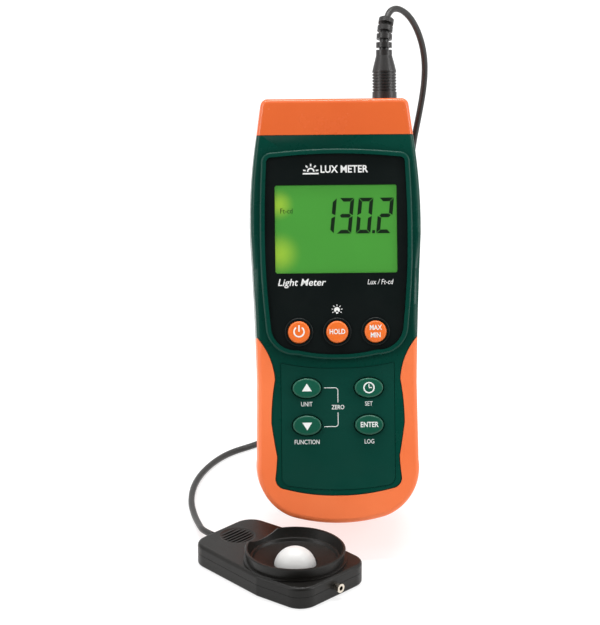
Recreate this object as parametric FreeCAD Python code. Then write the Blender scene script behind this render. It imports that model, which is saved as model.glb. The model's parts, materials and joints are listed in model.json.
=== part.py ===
"""Hand-held light meter on its tilt stand, with its remote sensor head and lead.

Millimetres. +Z is up, +X is to the right of someone reading the display, +Y is away from them.
The origin is on the surface that the meter stands on, under the middle of the meter and sensor head.
The meter is drawn upright in its own frame, where z runs from its bottom end to its top end and y
from the back (0) to the front (negative), and is then leaned back. The sensor head is drawn lying
along x about its own middle, and is then turned to where it lies in front of the meter.
"""
import math
import os

import FreeCAD
import Part

# Driving dimensions of the meter
LENGTH = 182.0
FRONT_Y = -45.0            # green front face
SPLIT_Y = -22.0            # joint between the front and rear cases
RIDGE_Y = -47.2            # crest of the frame round the display panel
CAP_Z = 166.4              # joint between the cases and the top cap
BOOT_Z = 79.5              # top of the rubber boot at the sides
BOOT_SKIN = 1.6
WALL_INSET = 3.6           # outside of the boot to the inside of the case
FRONT_INSIDE_Y = -42.4
BACK_INSIDE_Y = -4.8
FRONT_ROUND = 2.0
BACK_ROUND = 2.6
GROOVE = 0.35
LEAN_DEG = 23.0

# Display
PANEL_Y = -45.9
WINDOW_Z = 125.9
WINDOW_SIZE = (52.6, 38.0)
RIDGE_WIDTH = 2.3

# Keys
ROUND_KEY_R = 4.7
ROUND_KEY_GAP = 0.3
ROUND_KEY_Z = 81.8
ROUND_KEY_X = {"power_key": -16.4, "hold_key": 0.0, "max_min_key": 16.4}
OVAL_KEY = (6.1, 4.25)
OVAL_OPENING = (6.65, 4.7)
OVAL_KEY_PLACE = {
    "up_key": (-13.3, 57.8), "unit_key": (13.3, 57.8),
    "down_key": (-13.3, 41.9), "enter_key": (13.3, 41.9),
}
KEY_TRAVEL = 1.0
BOARD_Y = (-38.4, -36.8)

# Batteries, cover and tilt stand
CELL_R = 7.15
CELL_LENGTH = 49.4
CELL_PITCH = 15.3
COVER_HALF_WIDTH = 24.0
COVER_Z = (11.0, 122.0)
COVER_THICK = 6.0
COVER_GAP = 0.3
CELL_Y = -14.0
TRAY_Y = -21.4
STAND_PIVOT = (-2.2, 108.0)      # y, z in the meter's frame
STAND_LENGTH = 99.6             # pivot to the middle of the rounded foot
STAND_FOOT_R = 2.0
STAND_HALF_WIDTH = 19.6
STAND_Y = (-2.8, -0.4)
PIN_R = 1.0
SCREW_PLACES = [(-26.0, 152.0), (26.0, 152.0), (-28.6, 96.0), (28.6, 96.0)]
COVER_SCREW_PLACES = [(-14.0, 118.6), (14.0, 118.6)]
TRIPOD_Z = 141.0
TRIPOD_OUTER_R = 5.0
TRIPOD_BORE_R = 2.6

# Side door and what is behind it
DOOR_Z = (21.5, 72.5)
DOOR_Y = (-36.0, -12.0)
DOOR_GAP = 0.3
PORT_X = 29.2
PORT_Y = -28.0
RESET_Z = 26.9

# Plug on top of the meter
PLUG_X = 22.4
PLUG_Y = -26.0
PLUG_SEAT = 0.2
RELIEF_BASE_Z = 204.2
RELIEF_TIP = (23.8, -22.8, 217.8)

# Sensor head
HEAD_LENGTH = 68.0
HEAD_HALF_WIDTHS = (17.9, 22.7, 20.6)     # at the cord end, at its widest and at the front
HEAD_WIDEST_X = 9.5
HEAD_CORNER = 8.5
HEAD_BASE_TOP = 5.5
HEAD_TOP = 9.7
COLLAR_X = 10.4
COLLAR_RIM_Z = 15.0
COLLAR_RIM_R = 21.4
DOME_R = 9.1
DOME_Z = 6.0
THUMB_X = -23.6
HEAD_SCREW_PLACES = [(-27.5, -12.5), (-27.5, 12.5), (27.5, -15.5), (27.5, 15.5)]
GLAND_Z = 5.0
GLAND_LENGTH = 2.6         # from the head to the ball that the lead swings about
GLAND_BALL_R = 1.9
HEAD_TURN_DEG = -45.0
HEAD_PLACE = (-26.8, -54.3)      # from the line where the meter touches the surface

# Lead
CORD_R = 1.4
CORD_END_GAP = 0.1           # between the cord's end and the gland
COIL_R = 16.0
COIL_TURNS_WIDE = 3
COIL_PLACE = (0.0, 112.0)

# Middle of the standing object, measured from the meter's line of contact
CENTRE = (-12.0, -9.8)


def vec(x, y, z):
    return FreeCAD.Vector(x, y, z)


def block(x, y, z):
    """Box between pairs of limits."""
    low = vec(min(x), min(y), min(z))
    return Part.makeBox(abs(x[1] - x[0]), abs(y[1] - y[0]), abs(z[1] - z[0]), low)


def rounded_block(x, y, z, radius, axis):
    """Box whose four edges along one axis are rounded."""
    solid = block(x, y, z)
    edges = [e for e in solid.Edges if abs(abs((e.tangentAt(e.FirstParameter)).dot(axis)) - 1) < 1e-6]
    return solid.makeFillet(radius, edges)


def rod(start, end, radius):
    """Cylinder from one point to another."""
    line = end - start
    return Part.makeCylinder(radius, line.Length, start, line)


def half_outline(start, steps):
    """Edges on the right of the centre line: a step is an end point, or a via point and an end."""
    edges = []
    here = vec(start[0], 0, start[1])
    for step in steps:
        if isinstance(step[0], tuple):
            via = vec(step[0][0], 0, step[0][1])
            there = vec(step[1][0], 0, step[1][1])
            edges.append(Part.Arc(here, via, there).toShape())
        else:
            there = vec(step[0], 0, step[1])
            edges.append(Part.LineSegment(here, there).toShape())
        here = there
    return edges


def mirrored_wire(start, steps, offset=0.0):
    """Closed wire in the xz plane, the same on both sides of x = 0."""
    right = half_outline(start, steps)
    left = [edge.mirror(vec(0, 0, 0), vec(1, 0, 0)) for edge in right]
    wire = Part.Wire(Part.__sortEdges__(right + left))
    if offset:
        wire = wire.makeOffset2D(offset)
    return wire


def slab(wire, y):
    """Solid of a wire in the xz plane, between two depths."""
    face = Part.Face(wire)
    face.translate(vec(0, min(y), 0))
    return face.extrude(vec(0, abs(y[1] - y[0]), 0))


def round_at_depth(solid, y, radius):
    """Round every edge that lies at one depth."""
    edges = []
    for edge in solid.Edges:
        box = edge.BoundBox
        if abs(box.YMin - y) < 1e-4 and abs(box.YMax - y) < 1e-4:
            edges.append(edge)
    return solid.makeFillet(radius, edges)


def body_wire(offset=0.0):
    """Silhouette of the meter: narrow at the keypad, widest by the display."""
    steps = [
        ((10.1, 0.7), (20.0, 2.8)),
        ((30.2, 10.4), (34.4, 27.0)),
        (34.0, 60.0),
        ((34.9, 91.0), (36.5, 124.0)),
        ((35.9, 146.0), (33.6, CAP_Z)),
        (31.9, 179.0),
        ((30.9, 181.1), (28.2, LENGTH)),
        (0.0, LENGTH),
    ]
    return mirrored_wire((0.0, 0.0), steps, offset)


def panel_wire(offset=0.0):
    """Outline of the black display panel, rounded below like a shield."""
    steps = [
        ((8.6, 72.7), (16.9, 74.2)),
        ((25.4, 77.4), (28.3, 84.4)),
        ((29.3, 95.0), (30.3, 112.0)),
        ((30.4, 134.0), (29.6, 154.0)),
        ((29.1, 155.9), (27.2, 156.6)),
        ((13.7, 157.7), (0.0, 158.1)),
    ]
    return mirrored_wire((0.0, 72.3), steps, offset)


def boot_edge_wire(offset=0.0):
    """Scalloped inner edge of the boot on the front, closed above the boot."""
    steps = [
        ((12.0, 12.4), (23.0, 14.6)),
        ((26.2, 16.4), (27.1, 19.7)),
        ((26.6, 24.0), (26.3, 28.5)),
        ((27.5, 35.5), (28.6, 43.0)),
        ((28.2, 52.0), (26.9, 61.6)),
        ((28.6, 69.8), (34.3, BOOT_Z)),
        (40.0, 85.0),
        (0.0, 85.0),
    ]
    return mirrored_wire((0.0, 11.7), steps, offset)


def keypad_wire(offset=0.0):
    """Outline of the keypad plate, which fits under the display frame."""
    steps = [
        ((11.0, 14.8), (20.5, 16.0)),
        ((23.3, 17.3), (24.2, 20.0)),
        (24.2, 68.6),
        ((12.0, 66.6), (0.0, 66.2)),
    ]
    return mirrored_wire((0.0, 14.3), steps, offset)


def oval(place, axes, y):
    """Oval prism with its long axis across the meter."""
    ring = Part.Ellipse(vec(0, 0, 0), axes[0], axes[1]).toShape()
    face = Part.Face(Part.Wire(ring))
    face.rotate(vec(0, 0, 0), vec(1, 0, 0), 90)
    face.translate(vec(place[0], min(y), place[1]))
    return face.extrude(vec(0, abs(y[1] - y[0]), 0))


def disc(place, radius, y):
    """Round prism across the meter's depth."""
    start = vec(place[0], min(y), place[1])
    return Part.makeCylinder(radius, abs(y[1] - y[0]), start, vec(0, 1, 0))


def whole_body():
    solid = slab(body_wire(), (FRONT_Y, 0))
    solid = round_at_depth(solid, FRONT_Y, FRONT_ROUND)
    return round_at_depth(solid, 0.0, BACK_ROUND)


def boot_zone(body, front_offset):
    """The part of the body that the boot takes up."""
    zone = body.common(block((-50, 50), (-60, 5), (-5, BOOT_Z)))
    core = slab(body_wire(-BOOT_SKIN), (FRONT_Y + BOOT_SKIN, -BOOT_SKIN))
    zone = zone.cut(core)
    zone = zone.cut(slab(boot_edge_wire(front_offset), (FRONT_Y - 5, FRONT_Y + 8)))
    back_opening = rounded_block((-26.5, 26.5), (-8, 2), (8.6, 90), 4.0, vec(0, 1, 0))
    return zone.cut(back_opening)


def stand_pocket():
    """Room for the folded stand, deeper under its hinge barrel."""
    pocket = rounded_block((-20.2, 20.2), (-3.4, 2), (5.8, 104.3), 3.0, vec(0, 1, 0))
    barrel = block((-14.0, 14.0), (-4.9, 2), (103.0, 111.0))
    return pocket.fuse(barrel)


def key_openings(y):
    """Openings for all seven keys between two depths."""
    cuts = []
    for x in ROUND_KEY_X.values():
        cuts.append(disc((x, ROUND_KEY_Z), ROUND_KEY_R + ROUND_KEY_GAP, y))
    for place in OVAL_KEY_PLACE.values():
        cuts.append(oval(place, OVAL_OPENING, y))
    return cuts


def port_recess():
    """Recess behind the side door."""
    return block((PORT_X - 1.9, 40), (-34.0, -14.0), (24.5, 71.5))


def case_solid(body):
    """Both cases and the cap before they are parted: the body without the boot, hollowed."""
    solid = body.cut(boot_zone(body, -GROOVE))
    ridge = slab(panel_wire(RIDGE_WIDTH), (RIDGE_Y, FRONT_Y + 0.5))
    ridge = round_at_depth(ridge, RIDGE_Y, 0.9)
    solid = solid.fuse(ridge)
    solid = solid.cut(slab(panel_wire(0.15), (RIDGE_Y - 1, FRONT_Y)))
    solid = solid.cut(slab(keypad_wire(0.2), (FRONT_Y - 1, FRONT_Y + 0.5)))
    solid = solid.cut(slab(body_wire(-WALL_INSET), (FRONT_INSIDE_Y, BACK_INSIDE_Y)))
    solid = solid.cut(port_recess())
    solid = solid.cut(stand_pocket())
    return solid.cut(key_openings((FRONT_Y - 3, FRONT_INSIDE_Y + 1)))


def front_case(case):
    keep = block((-50, 50), (-60, SPLIT_Y - 0.1), (-5, CAP_Z - 0.15))
    solid = case.common(keep)
    window = block((-27.2, 27.2), (-60, -41), (WINDOW_Z - 20.2, WINDOW_Z + 20.2))
    bosses = [disc(place, 3.0, (FRONT_INSIDE_Y - 0.5, SPLIT_Y - 0.1)) for place in SCREW_PLACES]
    bores = [disc(place, 1.45, (-40.0, 2.0)) for place in SCREW_PLACES]
    return solid.cut(window).fuse(bosses).cut(bores)


def battery_tray():
    """Open box that holds the cells, moulded in one with the rear case."""
    outer = block((-25.8, 25.8), (TRAY_Y - 1.4, -3.0), (COVER_Z[0] - 1.8, COVER_Z[1] + 1.8))
    inner = block(
        (-COVER_HALF_WIDTH - COVER_GAP, COVER_HALF_WIDTH + COVER_GAP), (TRAY_Y, 5),
        (COVER_Z[0] - COVER_GAP, COVER_Z[1] + COVER_GAP))
    return outer, inner


def rear_case(case):
    keep = block((-50, 50), (SPLIT_Y, 10), (-5, CAP_Z - 0.15))
    solid = case.common(keep)
    outer, inner = battery_tray()
    bosses = [disc(place, 3.0, (SPLIT_Y, BACK_INSIDE_Y + 0.5)) for place in SCREW_PLACES]
    pads = [disc(place, 3.0, (TRAY_Y - 0.5, -6.5)) for place in COVER_SCREW_PLACES]
    foot_wall = block((-17.8, 17.8), (-6.0, -4.0), (4.6, 10.4))
    foot_room = block((-16.4, 16.4), (-4.45, 2), (6.4, 10.4))
    solid = solid.fuse([outer, foot_wall] + bosses).cut(inner).fuse(pads)
    bores = [disc(place, 1.6, (SPLIT_Y - 1, 2)) for place in SCREW_PLACES]
    bores += [disc(place, 2.9, (-3.0, 2)) for place in SCREW_PLACES]
    bores += [disc(place, 1.5, (-19.0, 0)) for place in COVER_SCREW_PLACES]
    nut_seat = disc((0, TRIPOD_Z), TRIPOD_OUTER_R + 0.02, (-8.5, 2))
    boss = disc((0, TRIPOD_Z), 8.0, (-9.0, BACK_INSIDE_Y + 0.5))
    return solid.fuse(boss).cut(bores + [nut_seat, port_recess(), foot_room])


def top_cap(case):
    cap = case.common(block((-50, 50), (-60, 10), (CAP_Z, 200)))
    return cap.cut(Part.makeCylinder(4.6, 20, vec(PLUG_X, PLUG_Y, 170)))


def door_opening(gap):
    return block(
        (30, 50), (DOOR_Y[0] - gap, DOOR_Y[1] + gap), (DOOR_Z[0] - gap, DOOR_Z[1] + gap))


def grip_boot(body):
    return boot_zone(body, 0.0).cut([door_opening(DOOR_GAP), stand_pocket(), port_recess()])


def side_door():
    """Thin curved door with two snap tabs that reach into the recess."""
    skin = slab(body_wire(-0.35), DOOR_Y).cut(slab(body_wire(-1.3), (-50, 5)))
    door = skin.common(door_opening(0))
    for z in (27.0, 67.0):
        door = door.fuse(block((31.4, 33.2), (-31.0, -17.0), (z, z + 2)))
    grip = block((33.5, 34.0), (-30.0, -18.0), (45.0, 48.0))
    return door.fuse(grip)


def display_panel():
    panel = slab(panel_wire(), (PANEL_Y, FRONT_Y))
    rings = []
    for x in ROUND_KEY_X.values():
        ring = disc((x, ROUND_KEY_Z), 6.1, (PANEL_Y - 0.8, PANEL_Y))
        rings.append(round_at_depth(ring, PANEL_Y - 0.8, 0.45))
    panel = panel.fuse(rings)
    half_w, half_h = WINDOW_SIZE[0] / 2, WINDOW_SIZE[1] / 2
    window = rounded_block(
        (-half_w, half_w), (-50, -40), (WINDOW_Z - half_h, WINDOW_Z + half_h), 1.5, vec(0, 1, 0))
    return panel.cut([window] + key_openings((-60, -40))[:3])


def lcd_pieces():
    """Window, glass, frame, light guide, lamps and contact strips of the display."""
    half_w, half_h = WINDOW_SIZE[0] / 2, WINDOW_SIZE[1] / 2

    def plate(margin, y):
        return block(
            (-half_w - margin, half_w + margin), y, (WINDOW_Z - half_h - margin, WINDOW_Z + half_h + margin))

    window = rounded_block(
        (-half_w + 0.05, half_w - 0.05), (PANEL_Y + 0.3, FRONT_Y - 0.1),
        (WINDOW_Z - half_h + 0.05, WINDOW_Z + half_h - 0.05), 1.4, vec(0, 1, 0))
    frame = plate(1.9, (-41.6, -39.0)).cut(plate(0.3, (-50, -30)))
    strips = [
        block((-24, 24), (-41.5, BOARD_Y[0]), (WINDOW_Z + side * 17.6 - 1, WINDOW_Z + side * 17.6 + 1))
        for side in (-1, 1)]
    lamps = [block((-24.6, -22.6), (-41.4, -39.2), (z - 1.5, z + 1.5)) for z in (115.5, 136.5)]
    return {
        "lcd_window": window,
        "lcd_glass": plate(-0.2, (-44.7, -42.6)),
        "lcd_frame": frame,
        "light_guide": block((-22.3, 24.5), (-41.4, -39.2), (WINDOW_Z - 16.2, WINDOW_Z + 16.2)),
        "contact_strips": Part.makeCompound(strips),
        "backlight_lamps": Part.makeCompound(lamps),
    }


def round_key(x):
    cap = disc((x, ROUND_KEY_Z), ROUND_KEY_R, (-47.3, -40.9))
    cap = round_at_depth(cap, -47.3, 0.9)
    return cap.fuse(disc((x, ROUND_KEY_Z), 6.2, (-41.9, -40.9)))


def oval_key(place):
    cap = oval(place, OVAL_KEY, (-46.9, -40.9))
    cap = round_at_depth(cap, -46.9, 0.8)
    return cap.fuse(oval(place, (7.6, 5.6), (-41.9, -40.9)))


def keypad_plate():
    plate = slab(keypad_wire(), (FRONT_Y - 0.15, FRONT_Y + 0.5))
    return plate.cut(key_openings((-60, -40)))


def inner_pieces():
    """Boards, contact mat, buzzer and connectors inside the case."""
    board = rounded_block((-25.2, 25.2), BOARD_Y, (16.0, 146.0), 3.0, vec(0, 1, 0))
    parts = [block((-9, 5), (BOARD_Y[1], -34.6), (74, 88)), block((10, 20), (BOARD_Y[1], -35.0), (96, 103))]
    parts += [block((x, x + 3), (BOARD_Y[1], -35.6), (110, 111.6)) for x in (-18, -12, -6, 0, 6)]
    parts.append(rod(vec(-17, BOARD_Y[1], 100), vec(-17, -31.0, 100), 4.0))
    mat = rounded_block((-23.5, 23.5), (-39.6, BOARD_Y[0]), (34.0, 90.0), 2.0, vec(0, 1, 0))
    buzzer = rod(vec(-14, BOARD_Y[1], 30), vec(-14, -30.0, 30), 6.0)
    buzzer = buzzer.cut(rod(vec(-14, -31.0, 30), vec(-14, -29.0, 30), 1.0))
    return {
        "main_board": board, "board_components": Part.makeCompound(parts),
        "contact_mat": mat, "buzzer": buzzer,
    }


def port_pieces():
    """Panel, jacks, card holder, card and reset button behind the side door."""
    def barrel(z, radius, start_x, end_x):
        return rod(vec(start_x, PORT_Y, z), vec(end_x, PORT_Y, z), radius)

    panel = block((PORT_X - 1.6, PORT_X), (-33.8, -14.2), (24.7, 71.3))
    slot = block((20, 40), (PORT_Y - 1.45, PORT_Y + 1.45), (46.2, 70.8))
    holes = [barrel(z, radius, 20, 40) for z, radius in ((34.0, 4.5), (42.0, 3.2), (RESET_Z, 1.5))]
    panel = panel.cut(holes + [slot])
    dc_jack = barrel(34.0, 4.4, 16.0, PORT_X).cut(barrel(34.0, 2.75, 18.0, 40))
    dc_jack = dc_jack.fuse(barrel(34.0, 1.05, 17.0, PORT_X - 1))
    serial_jack = barrel(42.0, 3.1, 15.0, PORT_X).cut(barrel(42.0, 1.8, 16.0, 40))
    holder = block((0.5, PORT_X - 1.9), (-33.4, -24.8), (45.4, 72.0))
    holder = holder.cut(block((-5, 40), (PORT_Y - 1.4, PORT_Y + 1.4), (46.3, 70.7)))
    holder = holder.cut(block((-5, 18), (-34, -30.4), (50, 67)))
    card = rounded_block((-1.5, 30.5), (PORT_Y - 1.05, PORT_Y + 1.05), (46.6, 70.4), 1.0, vec(0, 1, 0))
    button = barrel(RESET_Z, 1.2, PORT_X - 3.4, PORT_X + 0.5)
    button = button.fuse(barrel(RESET_Z, 2.0, PORT_X - 3.4, PORT_X - 2.4))
    return {
        "port_panel": panel, "dc_jack": dc_jack, "serial_jack": serial_jack,
        "card_holder": holder, "memory_card": card, "reset_button": button,
    }


def battery_pieces():
    """Six cells in two rows of three, their springs and contact plates."""
    cells, springs, plates = [], [], []
    for row in range(2):
        base = 13.9 + row * 51.2
        for column in (-1, 0, 1):
            x = column * CELL_PITCH
            cell = rod(vec(x, CELL_Y, base), vec(x, CELL_Y, base + CELL_LENGTH - 1), CELL_R)
            nub = rod(vec(x, CELL_Y, base + CELL_LENGTH - 1.2), vec(x, CELL_Y, base + CELL_LENGTH), 2.7)
            cells.append(cell.fuse(nub))
            if row == 0:
                springs.append(cell_spring(x, base))
            plate_z = base + CELL_LENGTH + 0.2
            plates.append(block((x - 5, x + 5), (CELL_Y - 5, CELL_Y + 5), (plate_z, plate_z + 0.4)))
    return {
        "battery_cells": Part.makeCompound(cells),
        "battery_springs": Part.makeCompound(springs),
        "battery_contacts": Part.makeCompound(plates),
    }


def cell_spring(x, top):
    """Flat conical spring: three turns joined by a short leg, on the tray's end wall."""
    bottom = COVER_Z[0] - COVER_GAP
    pitch = (top - bottom - 0.8) / 2
    turns = []
    for turn in range(3):
        height = bottom + 0.35 + turn * pitch
        turns.append(Part.makeTorus(4.6 - turn, 0.33, vec(x, CELL_Y, height), vec(0, 0, 1)))
    leg_low = vec(x + 4.6, CELL_Y, bottom + 0.35)
    leg_high = vec(x + 2.6, CELL_Y, bottom + 0.35 + 2 * pitch)
    return turns[0].fuse(turns[1:] + [rod(leg_low, leg_high, 0.33)])


def battery_cover():
    cover = rounded_block(
        (-COVER_HALF_WIDTH, COVER_HALF_WIDTH), (-COVER_THICK, 0), COVER_Z, 2.0, vec(0, 1, 0))
    cover = cover.cut(stand_pocket())
    pin_bore = rod(vec(-18.6, *STAND_PIVOT), vec(18.6, *STAND_PIVOT), PIN_R + 0.02)
    screws = [disc(place, 1.6, (-10, 5)) for place in COVER_SCREW_PLACES]
    heads = [disc(place, 2.9, (-2.6, 5)) for place in COVER_SCREW_PLACES]
    finger = rod(vec(-7, 2.5, 15.5), vec(7, 2.5, 15.5), 4.0)
    return cover.cut([pin_bore, finger] + screws + heads)


def cross_screws(places, head_y, tip_y, head_r, shank_r):
    """Pan-head screws with a cross recess, driven from the back."""
    screws = []
    for x, z in places:
        head = disc((x, z), head_r, (head_y - 1.6, head_y))
        head = round_at_depth(head, head_y, 0.5)
        shank = disc((x, z), shank_r, (tip_y, head_y - 1.5))
        cross = [block((x - 1.5, x + 1.5), (head_y - 0.9, head_y + 1), (z - 0.3, z + 0.3)),
                 block((x - 0.3, x + 0.3), (head_y - 0.9, head_y + 1), (z - 1.5, z + 1.5))]
        screws.append(head.fuse(shank).cut(cross))
    return Part.makeCompound(screws)


def tripod_nut():
    nut = disc((0, TRIPOD_Z), TRIPOD_OUTER_R, (-8.4, -0.1))
    bore = disc((0, TRIPOD_Z), TRIPOD_BORE_R, (-20, 5))
    mouth = Part.makeCone(TRIPOD_BORE_R, 3.3, 0.7, vec(0, -0.8, TRIPOD_Z), vec(0, 1, 0))
    return nut.cut([bore, mouth])


def tilt_stand():
    """Folded stand: a plate with a window, ribs, a hinge barrel and a rounded foot."""
    pivot_y, pivot_z = STAND_PIVOT
    foot_z = pivot_z - STAND_LENGTH
    plate = rounded_block(
        (-STAND_HALF_WIDTH, STAND_HALF_WIDTH), STAND_Y, (foot_z + 1, 103.4), 3.0, vec(0, 1, 0))
    window = rounded_block((-12.0, 12.0), (-5, 2), (26.0, 88.0), 4.0, vec(0, 1, 0))
    barrel = rod(vec(-13.6, pivot_y, pivot_z), vec(13.6, pivot_y, pivot_z), 2.0)
    neck = block((-13.6, 13.6), (STAND_Y[0], -0.6), (100.0, pivot_z))
    foot = rod(vec(-16.0, -2.1, foot_z), vec(16.0, -2.1, foot_z), STAND_FOOT_R)
    web = block((-16.0, 16.0), (STAND_Y[0], -0.4), (foot_z, foot_z + 8))
    stand = plate.fuse([neck, web]).cut(window).fuse([barrel, foot])
    bore = rod(vec(-20, pivot_y, pivot_z), vec(20, pivot_y, pivot_z), PIN_R + 0.06)
    return stand.cut(bore)


def stand_open_angle():
    """Angle from folded to open, where the foot just touches the surface."""
    lean = math.radians(LEAN_DEG)
    pivot_y, pivot_z = STAND_PIVOT
    pivot_height = pivot_z * math.cos(lean) - pivot_y * math.sin(lean) - contact_height()
    drop = pivot_height - STAND_FOOT_R
    foot_offset = math.atan2(-2.1 - pivot_y, STAND_LENGTH)
    reach = math.hypot(STAND_LENGTH, -2.1 - pivot_y)
    return LEAN_DEG + math.degrees(math.acos(drop / reach)) - math.degrees(foot_offset)


def contact_height():
    """Height of the leaned meter's lowest point: the round of its lower back edge."""
    lean = math.radians(LEAN_DEG)
    return BACK_ROUND * (math.cos(lean) + math.sin(lean)) - BACK_ROUND


def turned_solid(profile, base):
    """Solid of revolution about a vertical axis, from (radius, height) points."""
    points = [vec(r, 0, z) for r, z in profile]
    face = Part.Face(Part.makePolygon(points + [points[0]]))
    solid = face.revolve(vec(0, 0, 0), vec(0, 0, 1), 360)
    solid.translate(base)
    return solid


def plug_pieces():
    """Plug standing on the top cap: grooved grip, metal barrel with pins, and ribbed relief."""
    low = LENGTH + PLUG_SEAT
    profile = [(0, low), (4.9, low), (5.3, low + 0.4), (5.3, low + 3.8)]
    ridge_pitch = 1.3
    for ridge in range(7):
        z = low + 3.8 + ridge * ridge_pitch
        profile += [(4.75, z + 0.1), (4.75, z + 0.5), (5.2, z + 0.62), (5.2, z + ridge_pitch)]
    profile += [(4.7, low + 15.0), (3.5, low + 19.6), (3.5, RELIEF_BASE_Z), (0, RELIEF_BASE_Z)]
    place = vec(PLUG_X, PLUG_Y, 0)
    barrel = turned_solid([(3.3, 168.7), (4.0, 168.7), (4.0, low), (3.3, low)], place)
    pins = []
    for angle in range(0, 360, 90):
        x = PLUG_X + 1.7 * math.cos(math.radians(angle + 45))
        y = PLUG_Y + 1.7 * math.sin(math.radians(angle + 45))
        pins.append(rod(vec(x, y, 171.0), vec(x, y, low), 0.45))
    socket = turned_solid([(4.08, 167.5), (5.6, 167.5), (5.6, 177.6), (4.08, 177.6)], place)
    floor = Part.makeCylinder(5.6, 1.2, vec(PLUG_X, PLUG_Y, 166.3))
    return {
        "plug_body": turned_solid(profile, place), "plug_barrel": barrel,
        "plug_pins": Part.makeCompound(pins), "strain_relief": strain_relief(),
        "sensor_socket": socket.fuse(floor),
    }


def strain_relief():
    """Tapered core with four ribs, bent over in one arc towards the cord."""
    start = vec(PLUG_X, PLUG_Y, RELIEF_BASE_Z)
    end = vec(*RELIEF_TIP)
    chord = end - start
    side = vec(chord.x, chord.y, 0)
    sweep = 2 * math.atan2(side.Length, chord.z)
    radius = chord.Length / (2 * math.sin(sweep / 2))
    centre = start + side.normalize() * radius

    def along(part):
        angle = sweep * part
        out = side * (-math.cos(angle) * radius)
        spot = centre + out + vec(0, 0, math.sin(angle) * radius)
        heading = side * math.sin(angle) + vec(0, 0, math.cos(angle))
        return spot, heading

    sections = []
    for part, core_r in ((0.0, 2.1), (0.5, 1.9), (1.0, 1.75)):
        spot, heading = along(part)
        sections.append(Part.Wire(Part.makeCircle(core_r, spot, heading)))
    relief = Part.makeLoft(sections, True)
    for rib in range(4):
        spot, heading = along((1.0 + 3.5 * rib) / 13.6)
        disc_r = 3.45 - 0.05 * rib
        relief = relief.fuse(Part.makeCylinder(disc_r, 2.2, spot, heading))
    return relief


def head_outline(inset, z, height):
    """Outline of the sensor head, widest beside the dome, between two heights."""
    end = HEAD_LENGTH / 2 - inset
    rear, widest, front = [half - inset for half in HEAD_HALF_WIDTHS]
    right = [vec(-end, -rear, z), vec(HEAD_WIDEST_X, -widest, z), vec(end, -front, z)]
    left = [vec(end, front, z), vec(HEAD_WIDEST_X, widest, z), vec(-end, rear, z)]
    solid = Part.Face(Part.makePolygon(right + left + right[:1])).extrude(vec(0, 0, height))
    corners = []
    for edge in solid.Edges:
        box = edge.BoundBox
        if box.ZLength > height / 2 and max(abs(box.XMin), abs(box.XMax)) > end - 0.1:
            corners.append(edge)
    return solid.makeFillet(HEAD_CORNER - inset, corners)


def round_at_height(solid, z, radius):
    edges = []
    for edge in solid.Edges:
        box = edge.BoundBox
        if abs(box.ZMin - z) < 1e-4 and abs(box.ZMax - z) < 1e-4:
            edges.append(edge)
    return solid.makeFillet(radius, edges)


def sensor_base():
    base = round_at_height(head_outline(0, 0, HEAD_BASE_TOP - 0.15), 0, 1.0)
    base = base.cut(head_outline(2.0, 1.6, 10))
    pillars = [Part.makeCylinder(2.6, 3.6, vec(x, y, 1.4)) for x, y in HEAD_SCREW_PLACES]
    bores = [Part.makeCylinder(1.3, 10, vec(x, y, -1)) for x, y in HEAD_SCREW_PLACES]
    heads = [Part.makeCylinder(2.3, 1.2, vec(x, y, 0)) for x, y in HEAD_SCREW_PLACES]
    ends = [head_gland_bore(), head_stud_bore()]
    return base.fuse(pillars).cut(bores + heads + ends)


def head_gland_bore():
    return rod(vec(-50, 0, GLAND_Z), vec(-28, 0, GLAND_Z), 2.5)


def head_stud_bore():
    return rod(vec(28, 0, GLAND_Z), vec(50, 0, GLAND_Z), 1.55)


def sensor_top():
    """Upper shell with the raised collar, the dished floor round the dome and the thumb recess."""
    height = HEAD_TOP - HEAD_BASE_TOP
    top = round_at_height(head_outline(0, HEAD_BASE_TOP, height), HEAD_TOP, 1.4)
    collar_profile = [(0, HEAD_BASE_TOP), (21.9, HEAD_TOP - 1.5), (21.9, HEAD_TOP + 0.6),
                      (20.8, HEAD_TOP + 0.9), (COLLAR_RIM_R, COLLAR_RIM_Z - 0.4),
                      (21.0, COLLAR_RIM_Z), (0, COLLAR_RIM_Z)]
    place = vec(COLLAR_X, 0, 0)
    top = top.fuse(turned_solid(collar_profile, place))
    cup_profile = [(0, 8.2), (9.6, 8.2), (17.6, 9.8), (18.2, 10.8), (19.0, 11.0), (20.2, COLLAR_RIM_Z - 0.3),
                   (20.5, COLLAR_RIM_Z + 1), (0, COLLAR_RIM_Z + 1)]
    top = top.cut(turned_solid(cup_profile, place))
    hollow = head_outline(2.0, HEAD_BASE_TOP - 1, 2.6)
    top = top.cut(hollow)
    top = top.cut(Part.makeCylinder(9.3, 12, vec(COLLAR_X, 0, 0)))
    recess = Part.makeSphere(28.0, vec(THUMB_X, 0, HEAD_TOP + 26.9))
    top = top.cut(recess)
    ribs = []
    for step in range(-3, 4):
        x = THUMB_X + step * 1.9
        reach = math.sqrt(7.2 ** 2 - (step * 1.9) ** 2)
        ribs.append(block((x - 0.4, x + 0.4), (-reach, reach), (HEAD_TOP - 1.3, HEAD_TOP - 0.15)))
    pillars = [Part.makeCylinder(2.6, 3.0, vec(x, y, 5.1)) for x, y in HEAD_SCREW_PLACES]
    bores = [Part.makeCylinder(1.05, 3.0, vec(x, y, 4.5)) for x, y in HEAD_SCREW_PLACES]
    top = top.fuse(ribs + pillars)
    return top.cut(bores + [head_gland_bore(), head_stud_bore()])


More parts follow.
